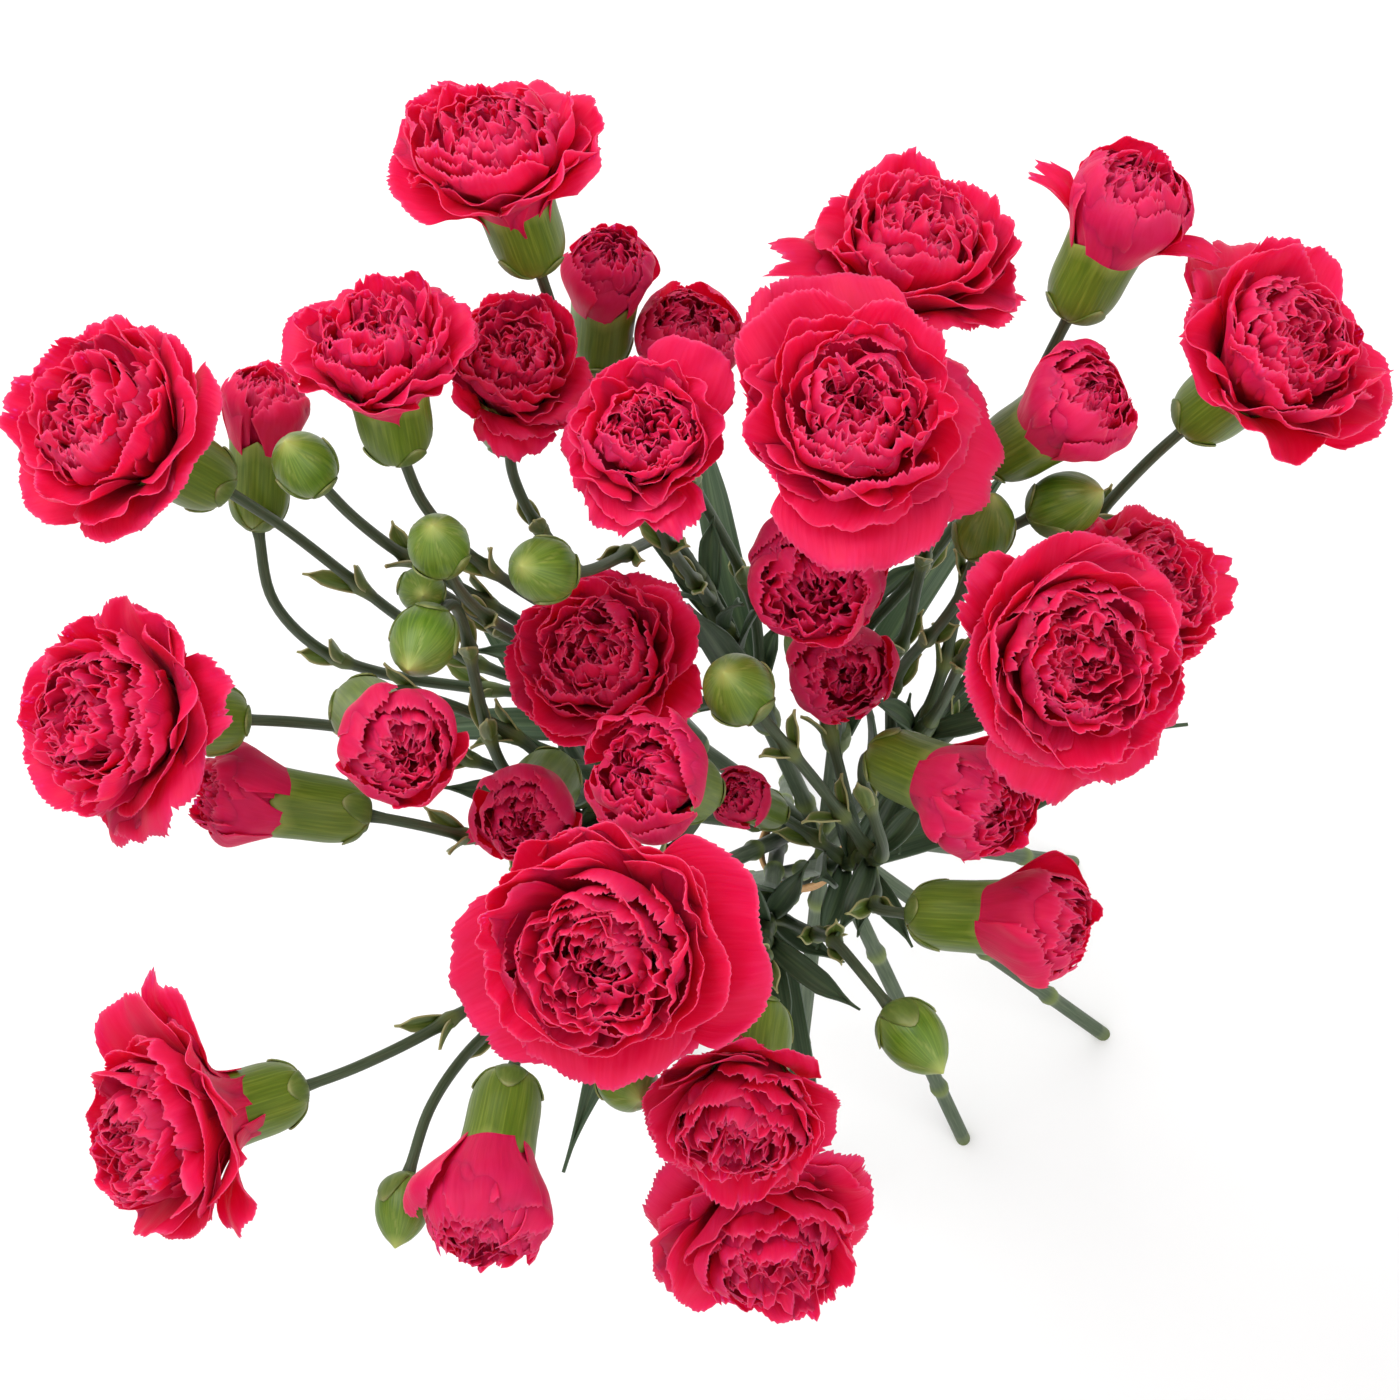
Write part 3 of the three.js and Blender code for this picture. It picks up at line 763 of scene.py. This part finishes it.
def main_stem_of(stem, forks, rng):
    """A main stem with its nodes, its cut foot and a small pair of leaves where it forks."""
    shape = Shape()
    length = np.linalg.norm(stem["top"] - stem["foot"])
    near_nodes = [node + np.linspace(-0.005, 0.005, 9) for node in stem["nodes"]]
    near_forks = [fork + np.linspace(-0.004, 0.004, 5) for fork in forks]
    heights = np.unique(np.concatenate([np.linspace(0, length, 60), *near_nodes, *near_forks]))
    heights = heights[(heights >= 0) & (heights <= length)]
    swell = np.zeros(len(heights))
    for node in stem["nodes"]:
        swell = np.maximum(swell, np.exp(-(((heights - node) / 0.0026) ** 2)))
    for fork in forks:
        swell = np.maximum(swell, 0.55 * np.exp(-(((heights - fork) / 0.0030) ** 2)))
    radii = STEM_RADIUS * 0.98 + (NODE_RADIUS - STEM_RADIUS) * swell
    line = stem["foot"] + heights[:, None] * stem["along"]
    tube(shape, line, radii, STEM_SIDES, np.maximum(swell, 1.0 * (heights < 0.002)))
    # The foot is cut level, so that it meets the surface all round.
    points = shape.points[-1]
    low = points[:, 2] < 0.0035
    points[low, 2] = np.maximum(points[low, 2], 0)
    ring = points[:STEM_SIDES]
    slip = ring[:, 2] / stem["along"][2]
    ring -= slip[:, None] * stem["along"]
    foot_middle = STEM_SIDES * len(heights)
    points[foot_middle] = ring.mean(0)
    for fork in forks:
        small_leaves(
            shape,
            rng,
            stem["foot"] + stem["along"] * (fork - 0.002),
            stem["along"],
            STEM_RADIUS,
            FORK_LEAF_WIDTH,
            lengths=(0.018, 0.038),
            rises=(56, 78),
            droops=(15, 50),
            tone=0.35,
            thickness=0.0005,
            rows=12,
        )
    return shape


def leaf_pair_of(node, stem):
    """A leaf pair with its sheath: the outer leaf arches over, the inner one stands up along the stem."""
    shape = Shape()
    points, _, _ = mesh_of(node)
    arms = points - stem["foot"]
    heights = arms @ stem["along"]
    radial = arms - np.outer(heights, stem["along"])
    out = np.linalg.norm(radial, axis=1)
    base = heights.min()
    outer_tip = points[out > out.max() - 0.0006].mean(0)
    inner_tip = points[heights > heights.max() - 0.0012].mean(0)
    steps = np.linspace(base, base + SHEATH_HEIGHT, 8)
    line = stem["foot"] + steps[:, None] * stem["along"]
    radii = np.interp(steps, [base, base + 0.003, base + SHEATH_HEIGHT], [0.0030, 0.0039, 0.0034])
    tube(shape, line, radii, STEM_SIDES, np.linspace(1.0, 0.4, 8))
    for tip, rise, droop in ((outer_tip, 66, 62), (inner_tip, 86, 14)):
        reach = tip - stem["foot"]
        reach -= stem["along"] * (reach @ stem["along"])
        way = unit(reach)
        root = stem["foot"] + stem["along"] * (base + 0.0045) + way * 0.0024
        leaflet(
            shape,
            root,
            way,
            stem["along"],
            length=LEAF_LENGTH,
            width=LEAF_WIDTH,
            rise=rise,
            droop=droop,
            tone=0.0,
            thickness=0.0007,
            rows=30,
        )
    return shape


def rubber_band_of(node):
    """A flat rubber band wound round the waist in turns that cross a little."""
    shape = Shape()
    low, high = (np.array(corner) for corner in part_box(node))
    middle = (low + high) / 2
    radius = (high - low)[0] / 2 - 0.0007
    pitch = (high - low)[2] / BAND_TURNS
    rings, corners = 64, 10
    angles = np.linspace(0, 2 * np.pi, rings, endpoint=False)
    section = np.linspace(0, 2 * np.pi, corners, endpoint=False)
    out = radius + 0.00055 * np.cos(section)
    rise = pitch * 0.46 * np.sin(section)
    quads = grid_faces(rings, corners, closed=True)
    last, first = (rings - 1) * corners + np.arange(corners), np.arange(corners)
    closing = np.stack([last, np.roll(last, -1), np.roll(first, -1), first], 1)
    for i in range(BAND_TURNS):
        lift = low[2] + pitch * (i + 0.5) + 0.0003 * np.sin(angles + i * 1.7)
        x = middle[0] + np.outer(np.cos(angles), out)
        y = middle[1] + np.outer(np.sin(angles), out)
        z = lift[:, None] + rise[None, :]
        points = np.stack([x, y, z], -1).reshape(-1, 3)
        around, across = np.repeat(np.cos(angles), corners), np.tile(np.cos(section), rings)
        places = np.stack([around, across, np.zeros(rings * corners)], 1)
        shape.add(points, [quads[:, ::-1], closing[:, ::-1]], places, places)
    return shape


# ---------------------------------------------------------------- materials
def grey(value):
    return (value, value, value)


def material(name, roughness, **settings):
    """A material, its node tree and its shader, with the shader's sockets set by name."""
    made = bpy.data.materials.new(name)
    made.use_nodes = True
    shader = made.node_tree.nodes["Principled BSDF"]
    shader.inputs["Roughness"].default_value = roughness
    for key, value in settings.items():
        shader.inputs[key.replace("_", " ")].default_value = value
    return made, made.node_tree, shader


def corner_vector(tree, name):
    """The vector of that name that each corner of the piece holds."""
    held = tree.nodes.new("ShaderNodeAttribute")
    held.attribute_name = name
    return held.outputs["Vector"]


def place_of(tree):
    """The piece's own (across, along, tone), as the outputs X, Y and Z."""
    parts = tree.nodes.new("ShaderNodeSeparateXYZ")
    tree.links.new(corner_vector(tree, "place"), parts.inputs[0])
    return parts


def ramp(tree, value, stops):
    """A colour that follows a value through (value, colour) stops."""
    node = tree.nodes.new("ShaderNodeValToRGB")
    elements = node.color_ramp.elements
    for element, (position, colour) in ((elements[0], stops[0]), (elements[1], stops[-1])):
        element.position = position
        element.color = (*colour, 1)
    for position, colour in stops[1:-1]:
        elements.new(position).color = (*colour, 1)
    tree.links.new(value, node.inputs["Fac"])
    return node.outputs["Color"]


def mixed(tree, factor, one, other):
    """One colour with another mixed in by a factor. Each can be a socket or a plain value."""
    node = tree.nodes.new("ShaderNodeMix")
    node.data_type = "RGBA"
    for socket, value in ((node.inputs[0], factor), (node.inputs[6], one), (node.inputs[7], other)):
        if isinstance(value, bpy.types.NodeSocket):
            tree.links.new(value, socket)
        elif isinstance(value, tuple):
            socket.default_value = (*value, 1)
        else:
            socket.default_value = value
    return node.outputs[2]


def maths(tree, operation, one, other=0.0):
    """The result of an operation on one or two sockets or plain numbers."""
    node = tree.nodes.new("ShaderNodeMath")
    node.operation = operation
    for socket, value in ((node.inputs[0], one), (node.inputs[1], other)):
        if isinstance(value, bpy.types.NodeSocket):
            tree.links.new(value, socket)
        else:
            socket.default_value = value
    return node.outputs[0]


def noise(tree, vector, scale, detail):
    node = tree.nodes.new("ShaderNodeTexNoise")
    node.inputs["Scale"].default_value = scale
    node.inputs["Detail"].default_value = detail
    tree.links.new(vector, node.inputs["Vector"])
    return node.outputs["Fac"]


def bump(tree, shader, height, strength, distance):
    node = tree.nodes.new("ShaderNodeBump")
    node.inputs["Strength"].default_value = strength
    node.inputs["Distance"].default_value = distance
    tree.links.new(height, node.inputs["Height"])
    tree.links.new(node.outputs["Normal"], shader.inputs["Normal"])


def object_place(tree):
    return tree.nodes.new("ShaderNodeTexCoord").outputs["Object"]


def petal_material():
    made, tree, shader = material(
        "petal",
        0.55,
        Sheen_Weight=0.06,
        Sheen_Roughness=0.35,
        Sheen_Tint=(1.0, 0.30, 0.45, 1),
        Specular_IOR_Level=0.16,
        Subsurface_Weight=0.5,
        Subsurface_Radius=(1.0, 0.12, 0.18),
        Subsurface_Scale=0.003,
    )
    parts = place_of(tree)
    # Painted shade: each petal's colour darkens towards its foot, deep in the head where shade falls; towards
    # its margin it turns a paler pink.
    base = ramp(
        tree,
        parts.outputs["Y"],
        [
            (0.0, (0.44, 0.0008, 0.028)),
            (0.45, (0.69, 0.0014, 0.042)),
            (0.90, (0.78, 0.0045, 0.056)),
            (0.97, (0.82, 0.0180, 0.090)),
            (1.0, (0.84, 0.0900, 0.19)),
        ],
    )
    veins = noise(tree, corner_vector(tree, "grain"), 1.3, 3.0)
    streaks = ramp(tree, veins, [(0.36, grey(0.0)), (0.68, grey(0.50))])
    base = mixed(tree, streaks, base, (0.86, 0.026, 0.105))
    blotch = noise(tree, object_place(tree), 70.0, 3.0)
    base = mixed(tree, maths(tree, "MULTIPLY", blotch, 0.4), base, (0.62, 0.0012, 0.038))
    base = mixed(tree, maths(tree, "MULTIPLY", parts.outputs["Z"], 0.5), base, (0.80, 0.012, 0.115))
    tree.links.new(base, shader.inputs["Base Color"])
    tree.links.new(ramp(tree, veins, [(0.3, grey(0.48)), (0.7, grey(0.64))]), shader.inputs["Roughness"])
    bump(tree, shader, veins, 0.45, 0.0003)
    return made


def calyx_paleness(tree, parts):
    """Paler at its foot and along its teeth."""
    stops = [(0.0, grey(0.5)), (0.22, grey(0.05)), (0.8, grey(0.0)), (1.0, grey(0.5))]
    return ramp(tree, parts.outputs["Y"], stops)


def bud_paleness(tree, parts):
    """Paler at its tip and along its seams."""
    stops = [(0.0, grey(0.3)), (0.5, grey(0.0)), (0.86, grey(0.15)), (1.0, grey(1.0))]
    tip = ramp(tree, parts.outputs["Y"], stops)
    seam = maths(tree, "SUBTRACT", 1.0, parts.outputs["Z"])
    return maths(tree, "MAXIMUM", tip, maths(tree, "MULTIPLY", seam, 0.45))


def bract_paleness(tree, parts):
    """Paler along its sides and at its tip."""
    side = maths(tree, "POWER", maths(tree, "ABSOLUTE", parts.outputs["X"]), 5.0)
    tip = maths(tree, "POWER", parts.outputs["Y"], 7.0)
    edge = maths(tree, "MINIMUM", maths(tree, "ADD", side, tip), 1.0)
    return maths(tree, "MULTIPLY", edge, 0.75)


def stem_paleness(tree, parts):
    """Paler on its swollen nodes."""
    return maths(tree, "MULTIPLY", parts.outputs["Z"], 0.75)


def leaf_paleness(tree, parts):
    """Paler along its midrib."""
    inward = maths(tree, "SUBTRACT", 1.0, maths(tree, "ABSOLUTE", parts.outputs["X"]))
    return maths(tree, "MULTIPLY", maths(tree, "POWER", inward, 8.0), 0.5)


# Each green's dark, middle, light and palest colours, its roughness, its veins' fineness and where it pales.
GREENS = {
    "calyx": (
        [(0.066, 0.124, 0.005), (0.100, 0.166, 0.009), (0.160, 0.232, 0.022), (0.33, 0.38, 0.085)],
        (0.42, 1.5, calyx_paleness),
    ),
    "bud": (
        [(0.056, 0.128, 0.006), (0.090, 0.182, 0.011), (0.155, 0.252, 0.026), (0.38, 0.43, 0.11)],
        (0.40, 2.2, bud_paleness),
    ),
    "bract": (
        [(0.064, 0.118, 0.010), (0.100, 0.164, 0.018), (0.165, 0.222, 0.042), (0.46, 0.44, 0.20)],
        (0.5, 1.5, bract_paleness),
    ),
    "stem": (
        [(0.036, 0.060, 0.027), (0.061, 0.092, 0.045), (0.100, 0.134, 0.072), (0.165, 0.215, 0.045)],
        (0.55, 1.5, stem_paleness),
    ),
    "leaf": (
        [(0.029, 0.058, 0.026), (0.050, 0.088, 0.042), (0.086, 0.130, 0.068), (0.12, 0.19, 0.08)],
        (0.5, 1.6, leaf_paleness),
    ),
}


def green_material(name):
    """A green skin with veins along the piece."""
    (dark, mid, light, pale), (roughness, fineness, paleness) = GREENS[name]
    made, tree, shader = material(name, roughness, Specular_IOR_Level=0.35)
    veins = noise(tree, corner_vector(tree, "grain"), fineness, 2.0)
    mottle = noise(tree, object_place(tree), 90.0, 4.0)
    base = ramp(tree, veins, [(0.32, dark), (0.52, mid), (0.70, light)])
    base = mixed(tree, maths(tree, "MULTIPLY", mottle, 0.5), base, mid)
    base = mixed(tree, paleness(tree, place_of(tree)), base, pale)
    tree.links.new(base, shader.inputs["Base Color"])
    rough = ramp(tree, mottle, [(0.3, grey(roughness - 0.06)), (0.7, grey(roughness + 0.08))])
    tree.links.new(rough, shader.inputs["Roughness"])
    bump(tree, shader, veins, 0.3, 0.0003)
    return made


def rubber_material():
    made, tree, shader = material("rubber", 0.6, Specular_IOR_Level=0.3)
    speck = noise(tree, object_place(tree), 900.0, 3.0)
    base = ramp(tree, speck, [(0.3, (0.40, 0.22, 0.09)), (0.7, (0.52, 0.31, 0.14))])
    tree.links.new(base, shader.inputs["Base Color"])
    tree.links.new(ramp(tree, speck, [(0.3, grey(0.52)), (0.7, grey(0.68))]), shader.inputs["Roughness"])
    bump(tree, shader, speck, 0.3, 0.0002)
    return made


def floor_material():
    made, tree, shader = material("floor", 0.8, Specular_IOR_Level=0.1)
    cloud = noise(tree, object_place(tree), 3.0, 2.0)
    tree.links.new(ramp(tree, cloud, [(0.3, grey(0.90)), (0.7, grey(0.92))]), shader.inputs["Base Color"])
    return made


# ---------------------------------------------------------------- camera, light and floor
band_low, band_high = (np.array(corner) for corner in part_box("rubber_band"))
TIE = (band_low + band_high) / 2


def add_camera():
    back = unit(CAMERA_BACK)
    up = unit(CAMERA_UP - back * CAMERA_UP.dot(back))
    right = np.cross(up, back)
    data = bpy.data.cameras.new("camera")
    data.lens = LENS
    data.sensor_width = SENSOR
    data.clip_end = 20
    camera = bpy.data.objects.new("camera", data)
    spot = TIE + back * CAMERA_AWAY + right * CAMERA_RIGHT + up * CAMERA_RAISE
    turn = Matrix(np.stack([right, up, back], 1).tolist())
    camera.matrix_world = Matrix.Translation(Vector(spot)) @ turn.to_4x4()
    bpy.context.scene.collection.objects.link(camera)
    bpy.context.scene.camera = camera


def add_light(name, spot, aim, size, power):
    data = bpy.data.lights.new(name, "AREA")
    data.shape = "DISK"
    data.size = size
    data.energy = power
    lamp = bpy.data.objects.new(name, data)
    lamp.location = spot
    lamp.rotation_euler = (Vector(aim) - Vector(spot)).to_track_quat("-Z", "Y").to_euler()
    bpy.context.scene.collection.objects.link(lamp)


def add_world(strength):
    world = bpy.data.worlds.new("studio")
    world.use_nodes = True
    world.node_tree.nodes["Background"].inputs["Color"].default_value = (1, 1, 1, 1)
    world.node_tree.nodes["Background"].inputs["Strength"].default_value = strength
    bpy.context.scene.world = world


def add_floor():
    mesh = bpy.data.meshes.new("floor")
    corners = [(x * FLOOR_REACH, y * FLOOR_REACH, 0) for x, y in ((-1, -1), (1, -1), (1, 1), (-1, 1))]
    mesh.from_pydata(corners, [], [(0, 1, 2, 3)])
    mesh.materials.append(floor_material())
    floor = bpy.data.objects.new("floor", mesh)
    bpy.context.scene.collection.objects.link(floor)


add_camera()
add_world(ROOM_STRENGTH)
crown = (float(TIE[0]), float(TIE[1]), float(TIE[2]) + LIGHT_AIM_OVER_TIE)
add_light("key", KEY_SPOT, crown, KEY_SIZE, KEY_POWER)
add_light("fill", FILL_SPOT, crown, FILL_SIZE, FILL_POWER)
add_floor()
bpy.context.scene.view_settings.view_transform = "Standard"

# ---------------------------------------------------------------- the bunch
PETAL, RUBBER = petal_material(), rubber_material()
CALYX, BUD, BRACT, STEM, LEAF = (green_material(name) for name in GREENS)

stems = {name[-1]: read_stem(name) for name in sorted(NODES) if name.startswith("stem_")}
forks = {letter: [] for letter in stems}
for seed, name in enumerate(sorted(NODES)):
    kind = next((kind for kind in HEAD_SIDES if name.startswith(kind + "_")), None)
    if not kind:
        continue
    tag = name.rsplit("_", 1)[1]
    rng = np.random.default_rng(OTHER_DRAWS.get(tag, seed))
    head = read_head(name, kind)
    letter = tag[0]
    stem = stems[letter]
    forks[letter].append((head["line"][0] - stem["foot"]) @ stem["along"] - 0.003)
    if kind == "bud":
        bud_of(head, rng).made(f"bud_calyx_{tag}", [BUD, BRACT], "calyx", name)
    else:
        petals_of(kind, tag, head, rng).made(f"petals_{tag}", [PETAL], "petal", name)
        calyx_of(head, rng).made(f"calyx_{tag}", [CALYX, BRACT], "calyx", name)
    side_stem_of(head, stem, rng).made(f"side_stem_{tag}", [STEM, BRACT], "stem", name)

for letter, stem in stems.items():
    rng = np.random.default_rng(ord(letter))
    top = np.linalg.norm(stem["top"] - stem["foot"])
    levels = sorted(fork for fork in forks[letter] if fork < top - 0.004)
    main_stem_of(stem, levels, rng).made(f"main_stem_{letter}", [STEM, LEAF], "stem", f"stem_{letter}")
    leaf_node = f"leaf_pair_{letter}"
    leaf_pair_of(leaf_node, stem).made(f"leaves_{letter}", [STEM, LEAF], "leaf", leaf_node)
rubber_band_of("rubber_band").made("wound_band", [RUBBER], "rubber", "rubber_band")

bpy.context.view_layer.update()
